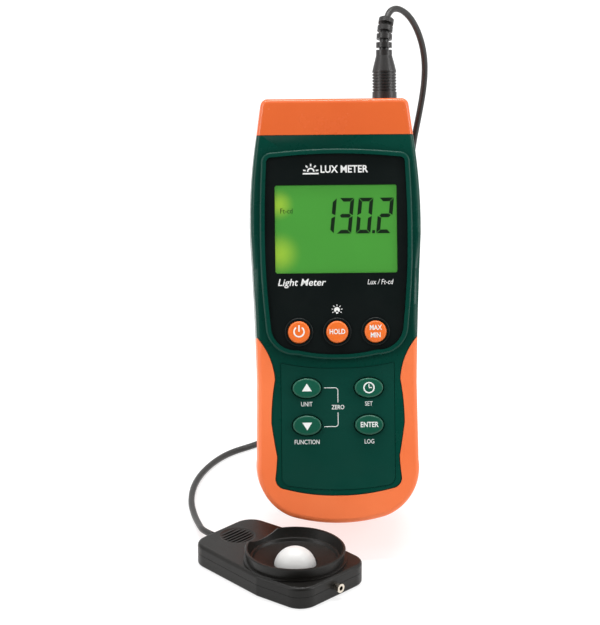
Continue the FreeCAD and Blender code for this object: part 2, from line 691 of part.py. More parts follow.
def sensor_pieces():
    """The sensor head, lying along x about its own middle."""
    centre = vec(COLLAR_X, 0, DOME_Z)
    outer = Part.makeSphere(DOME_R, centre)
    dome = outer.cut(Part.makeSphere(DOME_R - 1.4, centre)).common(block((-50, 50), (-50, 50), (DOME_Z, 30)))
    skirt = turned_solid([(DOME_R - 1.4, 5.2), (DOME_R, 5.2), (DOME_R, DOME_Z), (DOME_R - 1.4, DOME_Z)],
                         vec(COLLAR_X, 0, 0))
    filter_disc = Part.makeCylinder(5.0, 1.0, vec(COLLAR_X, 0, 5.9))
    diode = Part.makeCylinder(4.1, 1.6, vec(COLLAR_X, 0, 4.2))
    board = rounded_block((-22, 22), (-13, 13), (2.6, 4.1), 1.5, vec(0, 0, 1))
    chip = block((-15, -9), (-3, 3), (4.1, 5.3))
    screws = []
    for x, y in HEAD_SCREW_PLACES:
        screw = Part.makeCylinder(2.1, 0.9, vec(x, y, 0.2)).fuse(Part.makeCylinder(1.0, 6.6, vec(x, y, 0.9)))
        slot = block((x - 1.4, x + 1.4), (y - 0.25, y + 0.25), (0.0, 0.7))
        screws.append(screw.cut(slot))
    end_x = -HEAD_LENGTH / 2
    gland = rod(vec(end_x + 3.6, 0, GLAND_Z), vec(end_x - 0.6, 0, GLAND_Z), 2.45)
    cone_start = vec(end_x - 0.5, 0, GLAND_Z)
    gland = gland.fuse(Part.makeCone(2.45, GLAND_BALL_R, GLAND_LENGTH - 0.5, cone_start, vec(-1, 0, 0)))
    gland = gland.fuse(Part.makeSphere(GLAND_BALL_R, vec(end_x - GLAND_LENGTH, 0, GLAND_Z)))
    gland = gland.fuse(block((end_x + 2.3, end_x + 5.2), (-4, 4), (1.9, 6.8)))
    stud = rod(vec(-end_x - 3.0, 0, GLAND_Z), vec(-end_x + 3.0, 0, GLAND_Z), 1.5)
    stud = stud.fuse(rod(vec(-end_x + 1.6, 0, GLAND_Z), vec(-end_x + 3.0, 0, GLAND_Z), 2.0))
    stud = stud.cut(rod(vec(-end_x - 1.0, 0, GLAND_Z), vec(-end_x + 5.0, 0, GLAND_Z), 1.0))
    return {
        "sensor_base": sensor_base(), "sensor_top": sensor_top(), "diffuser_dome": dome.fuse(skirt),
        "colour_filter": filter_disc, "photodiode": diode, "sensor_board": board.fuse(chip),
        "sensor_screws": Part.makeCompound(screws), "cable_gland": gland, "front_stud": stud,
    }


# The free stretches of the cord: from the relief over the meter's back to just short of the coil,
# and from the coil round the meter's left side to the sensor head. The coil stays on the surface
# when the plug is pulled. Measured from the meter's line of contact.
CORD_UPPER = [
    (24.9, 67.6, 211.6), (29.6, 72.6, 211.3), (35.2, 76.4, 205.6), (39.6, 78.4, 196.0),
    (41.8, 78.8, 185.0), (41.5, 78.0, 173.6), (39.2, 75.4, 160.6), (36.4, 72.6, 147.6),
    (34.0, 71.6, 124.0), (32.6, 73.8, 96.0), (32.0, 76.4, 66.0), (31.4, 78.4, 42.0),
    (30.2, 81.0, 24.0), (27.6, 85.6, 10.4), (23.8, 91.6, 3.6), (20.8, 99.0, 1.8),
]
CORD_LOWER = [
    (-19.4, 98.4, 1.4), (-24.0, 85.4, 1.4), (-34.2, 75.6, 1.4), (-46.8, 67.0, 1.4),
    (-56.4, 51.8, 1.4), (-62.2, 34.0, 1.4), (-63.8, 15.6, 1.4), (-62.2, 0.6, 1.6),
    (-60.0, -13.0, 3.2),
]


def tube_along(points, radius, name):
    """Tube of straight runs joined by tangent arcs, each as large as its two runs allow."""
    edges = []
    here = points[0]
    smallest = None
    for index in range(1, len(points) - 1):
        before, corner, after = points[index - 1], points[index], points[index + 1]
        into, out = corner - before, after - corner
        turn = into.getAngle(out)
        setback = 0.45 * min(into.Length, out.Length)
        bend = setback / math.tan(turn / 2)
        smallest = bend if smallest is None else min(smallest, bend)
        start = corner - into.normalize() * setback
        end = corner + out.normalize() * setback
        inward = (end - corner).normalize() + (start - corner).normalize()
        depth = bend / math.cos(turn / 2) - bend
        middle = corner + inward.normalize() * depth
        edges.append(Part.LineSegment(here, start).toShape())
        edges.append(Part.Arc(start, middle, end).toShape())
        print(f"{name} point {index}: turn {math.degrees(turn):.0f} deg, radius {bend:.1f}")
        here = end
    edges.append(Part.LineSegment(here, points[-1]).toShape())
    path = Part.Wire(edges)
    section = Part.Wire(Part.makeCircle(radius, points[0], points[1] - points[0]))
    tube = path.makePipeShell([section], True, False)
    expected = path.Length * math.pi * radius ** 2
    print(f"{name}: length {path.Length:.1f}, smallest radius {smallest:.1f}, "
          f"volume {tube.Volume / expected:.4f} of section x length")
    return tube


def coil_solid():
    """Outer shape of the tied coil: a flat ring as thick as three turns each way."""
    half = COIL_TURNS_WIDE * CORD_R
    ring = turned_solid(
        [(COIL_R - half, 0.0), (COIL_R + half, 0.0), (COIL_R + half, 2 * half), (COIL_R - half, 2 * half)],
        vec(COIL_PLACE[0], COIL_PLACE[1], 0))
    return ring.makeFillet(1.4, ring.Edges)


def coil_tie():
    """Hook-and-loop band round one side of the coil."""
    half = COIL_TURNS_WIDE * CORD_R
    x, y = COIL_PLACE[0], COIL_PLACE[1] + COIL_R
    outer = block((x - 3.5, x + 3.5), (y - half - 0.9, y + half + 0.9), (0.0, 2 * half + 0.9))
    inner = block((x - 5, x + 5), (y - half - 0.05, y + half + 0.05), (-1.0, 2 * half + 0.05))
    return outer.cut(inner)


def in_world(shape):
    """Move from the line of contact to the object's own origin."""
    moved = shape.copy()
    moved.translate(vec(-CENTRE[0], -CENTRE[1], 0))
    return moved


def place_meter(shape):
    leaned = shape.copy()
    leaned.rotate(vec(0, 0, 0), vec(1, 0, 0), -LEAN_DEG)
    leaned.translate(vec(0, 0, -contact_height()))
    return in_world(leaned)


def place_head(shape):
    turned = shape.copy()
    turned.rotate(vec(0, 0, 0), vec(0, 0, 1), HEAD_TURN_DEG)
    turned.translate(vec(HEAD_PLACE[0], HEAD_PLACE[1], 0))
    return in_world(turned)


def meter_point(x, y, z):
    """Where a point of the upright meter is once it is leaned, from the line of contact."""
    lean = math.radians(LEAN_DEG)
    return vec(x, y * math.cos(lean) + z * math.sin(lean),
               z * math.cos(lean) - y * math.sin(lean) - contact_height())


def head_point(x, z):
    """Where a point on the sensor head's long axis lies, from the line of contact."""
    turn = math.radians(HEAD_TURN_DEG)
    return vec(HEAD_PLACE[0] + x * math.cos(turn), HEAD_PLACE[1] + x * math.sin(turn), z)


def cord_pieces():
    coil_x, coil_y = COIL_PLACE
    outer_turn = COIL_R + 2 * CORD_R
    upper = [meter_point(*RELIEF_TIP)] + [vec(*p) for p in CORD_UPPER]
    cord_end = -HEAD_LENGTH / 2 - GLAND_LENGTH - GLAND_BALL_R - CORD_END_GAP
    gland_tip = head_point(cord_end, GLAND_Z)
    before_gland = head_point(cord_end - 6.0, GLAND_Z)
    lower = [vec(coil_x - outer_turn, coil_y, CORD_R)] + [vec(*p) for p in CORD_LOWER]
    lower += [before_gland, gland_tip]
    for point in upper + lower:
        print(f"route point {point.x - CENTRE[0]:.1f}, {point.y - CENTRE[1]:.1f}, {point.z:.1f}")
    return {
        "cord_upper": tube_along(upper, CORD_R, "cord_upper"),
        "cord_lower": tube_along(lower, CORD_R, "cord_lower"),
        "cord_coil": coil_solid(), "coil_tie": coil_tie(),
    }


def meter_pieces():
    body = whole_body()
    case = case_solid(body)
    pieces = {
        "front_case": front_case(case), "rear_case": rear_case(case), "top_cap": top_cap(case),
        "grip_boot": grip_boot(body), "side_door": side_door(), "display_panel": display_panel(),
        "keypad_plate": keypad_plate(), "battery_cover": battery_cover(), "tripod_nut": tripod_nut(),
    }
    for name, x in ROUND_KEY_X.items():
        pieces[name] = round_key(x)
    for name, place in OVAL_KEY_PLACE.items():
        pieces[name] = oval_key(place)
    pieces.update(lcd_pieces())
    pieces.update(inner_pieces())
    pieces.update(port_pieces())
    pieces.update(battery_pieces())
    pieces.update(plug_pieces())
    pieces["case_screws"] = cross_screws(SCREW_PLACES, -1.4, -30.0, 2.6, 1.35)
    pieces["cover_screws"] = cross_screws(COVER_SCREW_PLACES, -1.0, -17.0, 2.6, 1.4)
    pieces["stand_pin"] = rod(vec(-18.4, *STAND_PIVOT), vec(18.4, *STAND_PIVOT), PIN_R)
    stand = tilt_stand()
    stand.rotate(vec(0, *STAND_PIVOT), vec(1, 0, 0), stand_open_angle())
    pieces["tilt_stand"] = stand
    return pieces


def main():
    os.makedirs("parts", exist_ok=True)
    placed = {name: place_meter(shape) for name, shape in meter_pieces().items()}
    placed.update({name: place_head(shape) for name, shape in sensor_pieces().items()})
    placed.update({name: in_world(shape) for name, shape in cord_pieces().items()})
    for name, shape in placed.items():
        shape.exportStep(f"parts/{name}.step")
        box = shape.optimalBoundingBox(False, False)
        low = f"{box.XMin:.1f} {box.YMin:.1f} {box.ZMin:.1f}"
        high = f"{box.XMax:.1f} {box.YMax:.1f} {box.ZMax:.1f}"
        print(f"{name}: valid {shape.isValid()}, solids {len(shape.Solids)}, "
              f"volume {shape.Volume:.1f}, box {low} to {high}")
    on_lead = {"plug_body", "plug_barrel", "plug_pins", "strain_relief",
               "cord_upper", "cord_lower", "cord_coil", "coil_tie"}
    standing = Part.makeCompound([shape for name, shape in placed.items() if name not in on_lead])
    whole = standing.optimalBoundingBox(False, False)
    print(f"{len(placed)} pieces, middle {whole.Center.x:.2f} {whole.Center.y:.2f}, lowest {whole.ZMin:.3f}")
    print(f"size {whole.XLength:.1f} x {whole.YLength:.1f} x {whole.ZLength:.1f}, "
          f"stand opens {stand_open_angle():.2f} deg")


main()
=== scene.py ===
"""A hand-held light meter on its tilt stand, with its remote sensor head lying in front of it."""
import json
import math

import bmesh
import bpy
from mathutils import Matrix, Vector


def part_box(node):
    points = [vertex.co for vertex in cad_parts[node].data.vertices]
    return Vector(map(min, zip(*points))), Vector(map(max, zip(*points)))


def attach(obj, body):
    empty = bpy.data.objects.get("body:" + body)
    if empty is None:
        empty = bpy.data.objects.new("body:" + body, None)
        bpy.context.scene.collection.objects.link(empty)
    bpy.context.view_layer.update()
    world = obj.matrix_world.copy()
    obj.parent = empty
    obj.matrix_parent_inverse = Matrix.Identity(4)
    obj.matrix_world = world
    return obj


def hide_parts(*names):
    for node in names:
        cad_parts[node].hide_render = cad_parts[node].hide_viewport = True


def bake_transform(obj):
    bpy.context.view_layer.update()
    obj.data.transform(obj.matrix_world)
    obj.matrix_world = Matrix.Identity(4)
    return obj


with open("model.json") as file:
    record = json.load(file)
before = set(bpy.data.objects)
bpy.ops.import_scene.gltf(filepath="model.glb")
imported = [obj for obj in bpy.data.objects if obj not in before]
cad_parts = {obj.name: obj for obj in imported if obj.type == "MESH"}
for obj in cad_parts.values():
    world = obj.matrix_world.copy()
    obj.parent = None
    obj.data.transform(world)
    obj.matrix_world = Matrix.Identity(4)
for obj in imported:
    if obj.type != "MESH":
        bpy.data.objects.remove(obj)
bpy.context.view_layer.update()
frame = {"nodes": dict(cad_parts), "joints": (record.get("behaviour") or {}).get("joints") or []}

MM_PER_M = 1000.0
DRIFT_SPREAD = (0.3, 0.7)      # how far a moulding's two shades stay apart

nodes = frame["nodes"]
scene = bpy.context.scene


# ---------------------------------------------------------------------------------------------
# Bench, light and camera: a white sweep under soft boxes, as for a catalogue shot.
# ---------------------------------------------------------------------------------------------
def linear(code):
    """sRGB hex to the linear colour that the shaders take."""
    channels = [int(code[i:i + 2], 16) / 255 for i in (1, 3, 5)]
    return [c / 12.92 if c <= 0.04045 else ((c + 0.055) / 1.055) ** 2.4 for c in channels] + [1.0]


def add_node(tree, kind, links=None, **settings):
    """One node with its settings; links gives each input a constant or another node's socket."""
    made = tree.nodes.new(kind)
    for name, value in settings.items():
        setattr(made, name, value)
    for name, value in (links or {}).items():
        socket = made.inputs[name]
        if isinstance(value, bpy.types.NodeSocket):
            tree.links.new(value, socket)
        else:
            socket.default_value = value
    return made


def new_material(name):
    """Empty node material with its output and the object's own coordinates in metres."""
    material = bpy.data.materials.new(name)
    material.use_nodes = True
    tree = material.node_tree
    tree.nodes.clear()
    output = add_node(tree, "ShaderNodeOutputMaterial")
    place = add_node(tree, "ShaderNodeTexCoord").outputs["Object"]
    return material, tree, output, place


def mottle(tree, place, scale, detail, dark, light, spread=(0.0, 1.0)):
    """Colour that drifts between two shades with noise of this scale."""
    noise = add_node(tree, "ShaderNodeTexNoise", {"Vector": place, "Scale": scale, "Detail": detail})
    tint = add_node(tree, "ShaderNodeValToRGB", {"Fac": noise.outputs["Fac"]})
    for stop, position, code in zip(tint.color_ramp.elements, spread, (dark, light)):
        stop.position = position
        stop.color = linear(code)
    return tint.outputs["Color"]


def paper_sweep():
    """White paper on a lit table, with the faint unevenness of pulp."""
    material, tree, output, place = new_material("matt white paper")
    tint = mottle(tree, place, 60.0, 4.0, "#9C9C9C", "#A2A2A2")
    shader = add_node(tree, "ShaderNodeBsdfPrincipled", {
        "Base Color": tint, "Roughness": 0.85,
        "Emission Color": linear("#FFFFFF"), "Emission Strength": 0.7})
    tree.links.new(shader.outputs["BSDF"], output.inputs["Surface"])
    return material


bench_mesh = bpy.data.meshes.new("bench")
BENCH_HALF = 4.0
corners = [(x * BENCH_HALF, y * BENCH_HALF, 0) for x, y in ((-1, -1), (1, -1), (1, 1), (-1, 1))]
bench_mesh.from_pydata(corners, [], [(0, 1, 2, 3)])
bench = bpy.data.objects.new("bench", bench_mesh)
scene.collection.objects.link(bench)
bench_mesh.materials.append(paper_sweep())


def studio_world():
    """White room with a dark wall in front, so that faces turned that way keep their own colour."""
    made = bpy.data.worlds.new("studio")
    made.use_nodes = True
    tree = made.node_tree
    tree.nodes.clear()
    heading = add_node(tree, "ShaderNodeTexCoord").outputs["Generated"]
    split = add_node(tree, "ShaderNodeSeparateXYZ", {"Vector": heading})
    strength = add_node(tree, "ShaderNodeMapRange", {
        "Value": split.outputs["Y"], "From Min": -0.9, "From Max": -0.35, "To Min": 0.06, "To Max": 0.85})
    sky = add_node(tree, "ShaderNodeBackground", {
        "Color": linear("#FFFFFF"), "Strength": strength.outputs["Result"]})
    add_node(tree, "ShaderNodeOutputWorld", {"Surface": sky.outputs["Background"]})
    return made


scene.world = studio_world()
scene.view_settings.view_transform = "Standard"

aim = Vector((0.0, 0.02, 0.09))


def soft_box(name, place, width, height, power):
    """Rectangular area light turned towards the meter."""
    light = bpy.data.lights.new(name, "AREA")
    light.shape = "RECTANGLE"
    light.size, light.size_y = width, height
    light.energy = power
    lamp = bpy.data.objects.new(name, light)
    lamp.location = place
    lamp.rotation_euler = (aim - Vector(place)).to_track_quat("-Z", "Y").to_euler()
    scene.collection.objects.link(lamp)


soft_box("overhead_box", (0.0, 0.25, 1.3), 1.2, 0.24, 12.5)
soft_box("left_box", (-1.1, -0.5, 0.7), 0.3, 0.9, 5.0)
soft_box("right_box", (1.1, -0.3, 0.6), 0.3, 0.9, 5.0)

VIEW_AZIMUTH, VIEW_ELEVATION = math.radians(-1.6), math.radians(22.0)
VIEW_DISTANCE = 1.6
VIEW_HEIGHT = 0.2772                      # how much of the meter's plane the picture's height holds
SENSOR_HEIGHT = 24.0
target = Vector((-0.0024, 0.0548, 0.0792))
camera = bpy.data.cameras.new("camera")
camera.sensor_fit = "VERTICAL"
camera.sensor_height = SENSOR_HEIGHT
camera.lens = SENSOR_HEIGHT * VIEW_DISTANCE / VIEW_HEIGHT
eye = bpy.data.objects.new("camera", camera)
away = Vector((math.sin(VIEW_AZIMUTH) * math.cos(VIEW_ELEVATION),
               -math.cos(VIEW_AZIMUTH) * math.cos(VIEW_ELEVATION), math.sin(VIEW_ELEVATION)))
eye.location = target + away * VIEW_DISTANCE
eye.rotation_euler = (-away).to_track_quat("-Z", "Y").to_euler()
scene.collection.objects.link(eye)
scene.camera = eye


# ---------------------------------------------------------------------------------------------
# Cord: a 2.8 mm round lead with a PVC jacket. It leaves the plug's relief, drops behind the meter
# into a tied coil of spare length, and comes round the left side to the sensor head.
# ---------------------------------------------------------------------------------------------
CORD_DIAMETER = 0.0028
FROM_PLUG = [
    (0.0358, 0.0739, 0.2086), (0.0369, 0.0774, 0.2116), (0.0416, 0.0824, 0.2113), (0.0472, 0.0862, 0.2056),
    (0.0516, 0.0882, 0.1960), (0.0538, 0.0886, 0.1850), (0.0535, 0.0878, 0.1736), (0.0512, 0.0852, 0.1606),
    (0.0484, 0.0824, 0.1476), (0.0460, 0.0814, 0.1240), (0.0446, 0.0836, 0.0960), (0.0440, 0.0862, 0.0660),
    (0.0434, 0.0882, 0.0420), (0.0422, 0.0908, 0.0240), (0.0396, 0.0954, 0.0104), (0.0358, 0.1014, 0.0036),
    (0.0328, 0.1088, 0.0018),
]
TO_SENSOR = [
    (-0.0074, 0.1082, 0.0014), (-0.0120, 0.0952, 0.0014), (-0.0222, 0.0854, 0.0014),
    (-0.0348, 0.0768, 0.0014), (-0.0444, 0.0616, 0.0014), (-0.0502, 0.0438, 0.0014),
    (-0.0518, 0.0254, 0.0014), (-0.0502, 0.0104, 0.0016), (-0.0480, -0.0032, 0.0032),
    (-0.0463, -0.0130, 0.0050), (-0.0421, -0.0172, 0.0050),
]
COIL_TURNS = [(18.8, 1.4), (16.0, 1.4), (13.2, 1.4), (13.2, 4.2), (16.0, 4.2), (18.7, 4.2), (17.3, 6.9)]
COIL_LAST = [(19.6, 6.2), (20.5, 4.6), (20.6, 2.9), (19.9, 1.7)]
POINTS_PER_TURN = 12


def coil_points():
    """Seven turns of (radius, height) in millimetres, each easing into the next, then half a turn down."""
    low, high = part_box("cord_coil")
    middle = (low + high) / 2
    stations = []
    for turn, (radius, height) in enumerate(COIL_TURNS):
        after = COIL_TURNS[min(turn + 1, len(COIL_TURNS) - 1)]
        for step in range(POINTS_PER_TURN):
            ease = max(0.0, (step - 8) / 4)
            stations.append((radius + (after[0] - radius) * ease, height + (after[1] - height) * ease))
    stations += [COIL_LAST[0], COIL_LAST[1], COIL_LAST[1], COIL_LAST[2], COIL_LAST[2], COIL_LAST[3]]
    points = []
    for index, (radius, height) in enumerate(stations):
        angle = 2 * math.pi * index / POINTS_PER_TURN
        spread = 0.001 * radius / math.cos(math.pi / POINTS_PER_TURN)
        points.append((middle.x + spread * math.cos(angle), middle.y + spread * math.sin(angle),
                       0.001 * height))
    return points


def open_spline(name, points, bevel=0.0):
    """Curve object of one open NURBS spline with these control points."""
    curve = bpy.data.curves.new(name, "CURVE")
    curve.dimensions = "3D"
    spline = curve.splines.new("NURBS")
    spline.points.add(len(points) - 1)
    for control, point in zip(spline.points, points):
        control.co = (*point, 1.0)
    spline.order_u = 3
    spline.use_endpoint_u = True
    spline.resolution_u = 6
    curve.bevel_depth = bevel
    curve.bevel_resolution = 3
    curve.use_fill_caps = True
    return bpy.data.objects.new(name, curve)


def as_mesh(shape, name):
    """A curve or text as a mesh object of its own."""
    scene.collection.objects.link(shape)
    bpy.context.view_layer.update()
    mesh = bpy.data.meshes.new_from_object(shape.evaluated_get(bpy.context.evaluated_depsgraph_get()))
    bpy.data.objects.remove(shape)
    made = bpy.data.objects.new(name, mesh)
    mesh.name = name
    scene.collection.objects.link(made)
    return made


def smooth(piece, degrees=35.0):
    """Smooth shading broken at edges sharper than this."""
    piece.data.shade_smooth()
    piece.data.set_sharp_from_angle(angle=math.radians(degrees))


def pvc_jacket():
    """Extruded soft PVC: near black with a low sheen and faint drawn lines."""
    material, tree, output, place = new_material("black PVC jacket")
    tint = mottle(tree, place, 220.0, 5.0, "#1D1B19", "#2C2A28")
    grain = add_node(tree, "ShaderNodeTexNoise", {"Vector": place, "Scale": 2500.0, "Detail": 3.0})
    bump = add_node(tree, "ShaderNodeBump", {
        "Height": grain.outputs["Fac"], "Strength": 0.25, "Distance": 0.0001})
    shader = add_node(tree, "ShaderNodeBsdfPrincipled", {
        "Base Color": tint, "Roughness": 0.42, "IOR": 1.53, "Normal": bump.outputs["Normal"]})
    tree.links.new(shader.outputs["BSDF"], output.inputs["Surface"])
    return material


jacket = pvc_jacket()
route = FROM_PLUG + coil_points() + TO_SENSOR
line = as_mesh(open_spline("cord_line", route), "cord_line")
bpy.data.objects.remove(line)
cord = as_mesh(open_spline("cord", route, CORD_DIAMETER / 2), "cord")
cord.data.materials.clear()
cord.data.materials.append(jacket)
cord.data.shade_smooth()
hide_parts("cord_upper", "cord_coil", "cord_lower")
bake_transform(cord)

# ---------------------------------------------------------------------------------------------
# Cases and keypad plate: injection-moulded ABS in deep green, two shells screwed together from the
# back. The tool is polished, so the skin is satin with only a faint orange peel.
# ---------------------------------------------------------------------------------------------
def moulded_abs(name, dark, light, roughness, peel_mm=1.4, peel=0.12, shine=0.5):
    """ABS as moulded: slow shade drift, orange peel of this size, and patches dulled by handling."""
    material, tree, output, place = new_material(name)
    tint = mottle(tree, place, 18.0, 3.0, dark, light, DRIFT_SPREAD)
    skin = add_node(tree, "ShaderNodeTexNoise", {"Vector": place, "Scale": MM_PER_M / peel_mm, "Detail": 4.0})
    bump = add_node(tree, "ShaderNodeBump", {
        "Height": skin.outputs["Fac"], "Strength": peel, "Distance": 0.0002})
    handling = add_node(tree, "ShaderNodeTexNoise", {
        "Vector": place, "Scale": 55.0, "Detail": 6.0, "Roughness": 0.65})
    dulled = add_node(tree, "ShaderNodeMapRange", {
        "Value": handling.outputs["Fac"], "From Min": 0.35, "From Max": 0.75,
        "To Min": roughness - 0.04, "To Max": roughness + 0.08})
    shader = add_node(tree, "ShaderNodeBsdfPrincipled", {
        "Base Color": tint, "Roughness": dulled.outputs["Result"], "IOR": 1.54,
        "Specular IOR Level": shine, "Normal": bump.outputs["Normal"]})
    tree.links.new(shader.outputs["BSDF"], output.inputs["Surface"])
    return material


def finish_node(material, *names, degrees=35.0):
    """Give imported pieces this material, with smooth rounds and crisp edges."""
    for name in names:
        piece = nodes[name]
        piece.data.materials.clear()
        piece.data.materials.append(material)
        piece.data.polygons.foreach_set("material_index", [0] * len(piece.data.polygons))
        smooth(piece, degrees)


green_abs = moulded_abs("deep green ABS", "#01372D", "#034236", 0.28, shine=0.2)
finish_node(green_abs, "front_case", "rear_case", "battery_cover")
plate_abs = moulded_abs("deep green ABS, fine matt", "#02392F", "#044136", 0.42,
                        peel_mm=0.6, peel=0.2, shine=0.14)
finish_node(plate_abs, "keypad_plate")

# ---------------------------------------------------------------------------------------------
# Top cap: the same ABS in signal orange, one shell over the meter's head.
# ---------------------------------------------------------------------------------------------
orange_abs = moulded_abs("signal orange ABS", "#DB602D", "#E46A33", 0.24)
finish_node(orange_abs, "top_cap")

# ---------------------------------------------------------------------------------------------
# Grip boot and side door: thermoplastic elastomer moulded over the lower case. It is softer and
# paler than the cap, with a fine matt grain and a slight sheen at grazing angles.
# ---------------------------------------------------------------------------------------------
def elastomer(name, dark, light, grain_mm, roughness):
    """Soft-touch rubber: fine leathery grain of this size, and a dusty sheen."""
    material, tree, output, place = new_material(name)
    tint = mottle(tree, place, 30.0, 4.0, dark, light, DRIFT_SPREAD)
    grain = add_node(tree, "ShaderNodeTexNoise", {
        "Vector": place, "Scale": MM_PER_M / grain_mm, "Detail": 3.0})
    bump = add_node(tree, "ShaderNodeBump", {
        "Height": grain.outputs["Fac"], "Strength": 0.3, "Distance": 0.00015})
    shader = add_node(tree, "ShaderNodeBsdfPrincipled", {
        "Base Color": tint, "Roughness": roughness, "IOR": 1.5, "Normal": bump.outputs["Normal"],
        "Sheen Weight": 0.12, "Sheen Roughness": 0.4, "Sheen Tint": linear("#FFC9A8")})
    tree.links.new(shader.outputs["BSDF"], output.inputs["Surface"])
    return material


boot_rubber = elastomer("orange elastomer", "#F3733A", "#F87D45", 0.5, 0.5)
finish_node(boot_rubber, "grip_boot", "side_door")

# ---------------------------------------------------------------------------------------------
# Display panel: black ABS with a smooth satin face and three raised rings round the keys.
# ---------------------------------------------------------------------------------------------
panel_abs = moulded_abs("black satin ABS", "#090F0F", "#0D1514", 0.32, peel_mm=2.0, peel=0.05, shine=0.2)
finish_node(panel_abs, "display_panel")


# ---------------------------------------------------------------------------------------------
# Display: a reflective liquid-crystal glass lit green from its left edge by two lamps, behind a
# clear window. The segments are printed electrodes that show dark, leaning as they do on such glass.
# ---------------------------------------------------------------------------------------------
LEAN = math.radians(23.0)
pivot = next(j for j in frame["joints"] if j["name"] == "stand_fold")["pos_m"]
PIVOT_Y, PIVOT_Z = -2.2, 108.0
lean_turn = Matrix.Rotation(-LEAN, 4, "X")
meter_zero = Vector(pivot) - 0.001 * (lean_turn.to_3x3() @ Vector((0, PIVOT_Y, PIVOT_Z)))
METER = Matrix.Translation(meter_zero) @ lean_turn @ Matrix.Scale(0.001, 4)
WINDOW_MIDDLE = 125.9
GLASS_Y = -44.72


def flat_piece(name, shapes, front, thickness, material, body, place=METER, round_off=0.0):
    """Thin raised print or sheet: outlines in (x, z) millimetres, their face at depth front."""
    shape = bmesh.new()
    for outline in shapes:
        rim = [shape.verts.new((x, front, z)) for x, z in outline]
        face = shape.faces.new(rim)
        face.normal_update()
        if face.normal.y > 0:
            face.normal_flip()
    sides = bmesh.ops.extrude_face_region(shape, geom=shape.faces[:])
    moved = [v for v in sides["geom"] if isinstance(v, bmesh.types.BMVert)]
    bmesh.ops.translate(shape, verts=moved, vec=(0, thickness, 0))
    bmesh.ops.recalc_face_normals(shape, faces=shape.faces[:])
    bmesh.ops.transform(shape, matrix=place, verts=shape.verts[:])
    mesh = bpy.data.meshes.new(name)
    shape.to_mesh(mesh)
    shape.free()
    mesh.materials.append(material)
    piece = bpy.data.objects.new(name, mesh)
    scene.collection.objects.link(piece)
    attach(piece, body)
    return piece


def lit_glass():
    """Green backlit polariser: brighter beside the two lamps at its left edge, fading to the right."""
    material, tree, output, place = new_material("backlit green glass")
    glow = None
    for lamp_z, reach in ((115.5, 0.0105), (136.5, 0.0075)):
        centre = METER @ Vector((-24.5, GLASS_Y, lamp_z))
        offset = add_node(tree, "ShaderNodeVectorMath", {0: place, 1: centre}, operation="DISTANCE")
        spot = add_node(tree, "ShaderNodeMapRange", {
            "Value": offset.outputs["Value"], "From Min": 0.0, "From Max": reach,
            "To Min": 1.0, "To Max": 0.0},
            interpolation_type="SMOOTHSTEP")
        if glow is None:
            glow = spot.outputs["Result"]
        else:
            brighter = add_node(tree, "ShaderNodeMath", {
                0: glow, 1: spot.outputs["Result"]}, operation="MAXIMUM")
            glow = brighter.outputs["Value"]
    cloud = add_node(tree, "ShaderNodeTexNoise", {"Vector": place, "Scale": 40.0, "Detail": 2.0})
    film = add_node(tree, "ShaderNodeMix", {
        "Factor": cloud.outputs["Fac"], "A": linear("#499A39"), "B": linear("#4EA23E")}, data_type="RGBA")
    lit = add_node(tree, "ShaderNodeMix", {
        "Factor": glow, "A": film.outputs["Result"], "B": linear("#9FC840")}, data_type="RGBA")
    shader = add_node(tree, "ShaderNodeBsdfPrincipled", {
        "Base Color": lit.outputs["Result"], "Roughness": 0.35, "IOR": 1.5,
        "Emission Color": lit.outputs["Result"], "Emission Strength": 0.45})
    tree.links.new(shader.outputs["BSDF"], output.inputs["Surface"])
    return material


def segment_ink():
    """Dark segments: a smooth film that lets a trace of the green through."""
    material, tree, output, place = new_material("liquid-crystal segments")
    tint = mottle(tree, place, 90.0, 2.0, "#032405", "#06300A")
    shader = add_node(tree, "ShaderNodeBsdfPrincipled", {"Base Color": tint, "Roughness": 0.4})
    tree.links.new(shader.outputs["BSDF"], output.inputs["Surface"])
    return material


def clear_acrylic():
    """Flat acrylic window: nearly all light goes straight through, with a faint reflection."""
    material, tree, output, place = new_material("clear acrylic")
    wipe = add_node(tree, "ShaderNodeTexNoise", {"Vector": place, "Scale": 120.0, "Detail": 5.0})
    haze = add_node(tree, "ShaderNodeMapRange", {"Value": wipe.outputs["Fac"], "To Min": 0.03, "To Max": 0.1})
    gloss = add_node(tree, "ShaderNodeBsdfGlossy", {"Roughness": haze.outputs["Result"]})
    through = add_node(tree, "ShaderNodeBsdfTransparent")
    fresnel = add_node(tree, "ShaderNodeFresnel", {"IOR": 1.49})
    weak = add_node(tree, "ShaderNodeMath", {0: fresnel.outputs["Fac"], 1: 0.6}, operation="MULTIPLY")
    both = add_node(tree, "ShaderNodeMixShader", {
        0: weak.outputs["Value"], 1: through.outputs["BSDF"], 2: gloss.outputs["BSDF"]})
    tree.links.new(both.outputs["Shader"], output.inputs["Surface"])
    return material


finish_node(lit_glass(), "lcd_glass")
finish_node(clear_acrylic(), "lcd_window")
ink = segment_ink()
DIGIT_HEIGHT, DIGIT_WIDTH, STROKE, SLANT = 15.3, 6.3, 1.6, 0.10
SEGMENT_GAP = 0.16
LIT = {"1": "bc", "3": "abcdg", "0": "abcdef", "2": "abdeg"}


